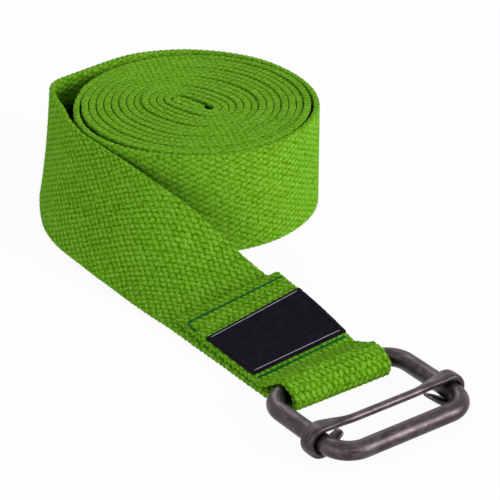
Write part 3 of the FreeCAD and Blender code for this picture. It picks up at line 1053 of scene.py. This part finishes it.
wire_map = buckle.data.uv_layers.new(name="wire")
for polygon in buckle.data.polygons:
    found = [along_wire(buckle.data.vertices[buckle.data.loops[corner].vertex_index].co)
             for corner in polygon.loop_indices]
    seam = max(turned for _, turned in found) - min(turned for _, turned in found) > math.pi
    for corner, (run, turned) in zip(polygon.loop_indices, found):
        if seam and turned < 0:
            turned += 2 * math.pi
        wire_map.data[corner].uv = (run * 0.001, turned * wire_radius * 0.001)
smoothed(buckle, 50)

gunmetal, tree, output = plain_material("gunmetal_finish")
wire = put(tree, "ShaderNodeUVMap", uv_map="wire").outputs[0]
place = put(tree, "ShaderNodeTexCoord").outputs["Object"]
fresh = put(tree, "ShaderNodeAttribute", attribute_name="fresh_cut").outputs["Fac"]
streaks = cloudy(tree, stretched(tree, wire, (300.0, 5200.0, 1.0)), 1.0, 4.0, 0.65)
mottle = cloudy(tree, place, 210.0, 5.0, 0.62)
grainy = cloudy(tree, place, 1500.0, 2.0)
wear = remapped(tree, maths(tree, "MULTIPLY_ADD", mottle, 0.6, streaks), 0.72, 1.0)
wear = maths(tree, "ADD", wear, fresh, use_clamp=True)
steel = blended(tree, wear, (0.044, 0.035, 0.04, 1.0), (0.125, 0.102, 0.111, 1.0))
dull = remapped(tree, maths(tree, "MULTIPLY_ADD", grainy, 0.16, streaks), 0.3, 0.85, 0.32, 0.48)
height = maths(tree, "MULTIPLY_ADD", mottle, 0.5, streaks)
surface(tree, output, {"Base Color": steel, "Metallic": 1.0, "Roughness": dull,
                       "Normal": bumped(tree, height, 0.2, 0.00012)})
buckle.data.materials.append(gunmetal)
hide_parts("buckle_frame")
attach(buckle, "buckle")


# ------------------------------------------------------------ slide bar
# A round steel bar.  Each end is hammered flat, wrapped round a side rail and brought back
# under the bar, where the wire's nipped end shows as a bright point.
bar_radius = 1.4
eye_clearance = 0.4
eye_length = 5.4
bar_drop = 27.05
bar_rise = 2.9
strand_reach = 11.8
tip_reach = 8.4
tip_level = 0.45
tip_width = 3.4
tip_thickness = 1.2
eye_inner_radius = wire_radius + eye_clearance
eye_thickness = rail_height - eye_inner_radius
tip_steps, eye_steps, strand_steps, bar_steps = 5, 14, 6, 8
ring_points = 16
finish_from = 0.3               # metres along the finish, clear of the stretch the frame shows
finish_step = 0.00068           # and from one of the ring's points to the next


def leaves_round(reach, level, radius):
    """Bearing of a point, and the opening at which a straight strand leaves for it."""
    return math.atan2(level, reach), math.acos(radius / math.hypot(reach, level))


def eye_path():
    """Wrapped end from its tip round the rail to the bar.

    Each step is the distance inwards and upwards from the rail, the heading, and the shares
    to which the wire is full and is round again.
    """
    radius = eye_inner_radius + eye_thickness / 2
    bearing, opening = leaves_round(tip_reach, tip_level, radius)
    lower = bearing - opening
    bearing, opening = leaves_round(strand_reach, bar_rise, radius)
    upper = bearing + opening
    sweep = upper - lower - 2 * math.pi
    steps = []
    low = (radius * math.cos(lower), radius * math.sin(lower))
    for index in range(tip_steps):
        share = index / tip_steps
        steps.append((tip_reach + (low[0] - tip_reach) * share,
                      tip_level + (low[1] - tip_level) * share,
                      lower - math.pi / 2, share, 0.0))
    for index in range(eye_steps + 1):
        angle = lower + sweep * index / eye_steps
        steps.append((radius * math.cos(angle), radius * math.sin(angle),
                      angle - math.pi / 2, 1.0, 0.0))
    high = (radius * math.cos(upper), radius * math.sin(upper))
    for index in range(1, strand_steps + 1):
        share = index / strand_steps
        steps.append((high[0] + (strand_reach - high[0]) * share,
                      high[1] + (bar_rise - high[1]) * share,
                      (upper - math.pi / 2) * (1 - smooth_step(share)), 1.0,
                      smooth_step(share)))
    return steps


def bar_ring(x, z, heading, from_tip, to_bar, side):
    """Ring of points round the wire at one step of the path."""
    centre = Vector((strap_middle + side * (frame_width / 2 - x), rail_y - bar_drop,
                     rail_height + z))
    through = Vector((-side * math.sin(heading), 0.0, -math.cos(heading)))
    width = tip_width + (eye_length - tip_width) * smooth_step(from_tip)
    thickness = tip_thickness + (eye_thickness - tip_thickness) * smooth_step(from_tip)
    width += (2 * bar_radius - eye_length) * to_bar
    thickness += (2 * bar_radius - eye_thickness) * to_bar
    power = 2.0 + 1.6 * (1 - to_bar)
    ring = []
    for index in range(ring_points):
        angle = 2 * math.pi * (index + 0.5) / ring_points
        sideways, outwards = (math.copysign(abs(share) ** (2 / power), share)
                              for share in (math.cos(angle), math.sin(angle)))
        ring.append((centre + Vector((0.0, 1.0, 0.0)) * (sideways * width / 2)
                     + through * (outwards * thickness / 2)) * 0.001)
    return ring


wrapped = eye_path()
rings = [bar_ring(*step, -1) for step in wrapped]
gap = 2 * (frame_width / 2 - strand_reach)
for index in range(1, bar_steps):
    shift = Vector((gap * index / bar_steps * 0.001, 0.0, 0.0))
    rings.append([point + shift for point in rings[len(wrapped) - 1]])
rings += [bar_ring(*step, 1) for step in reversed(wrapped)]
bar = mesh_piece("slide_bar_wire", [point for ring in rings for point in ring],
                 skin(len(rings), ring_points))
bar_map = bar.data.uv_layers.new(name="wire")
lengths = [0.0]
centres = [sum(ring, Vector()) / ring_points for ring in rings]
for first, second in zip(centres, centres[1:]):
    lengths.append(lengths[-1] + (second - first).length)
last = (len(rings) - 1) * ring_points
for index, polygon in enumerate(bar.data.polygons):
    for corner in polygon.loop_indices:
        row, column = divmod(bar.data.loops[corner].vertex_index, ring_points)
        if index < last and index % ring_points == ring_points - 1 and column == 0:
            column = ring_points
        bar_map.data[corner].uv = (finish_from + lengths[row], column * finish_step)
fresh_cut = bar.data.attributes.new("fresh_cut", "FLOAT", "POINT")
for index in range(ring_points):
    fresh_cut.data[index].value = fresh_cut.data[last + index].value = 1.0
face_outwards()
smooth = bar.modifiers.new("smooth", "SUBSURF")
smooth.levels = 1
smooth.render_levels = 1
bpy.ops.object.modifier_apply(modifier="smooth")
smoothed(bar, 50)
bar.data.materials.append(gunmetal)
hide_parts("slide_bar")
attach(bar, "bar")
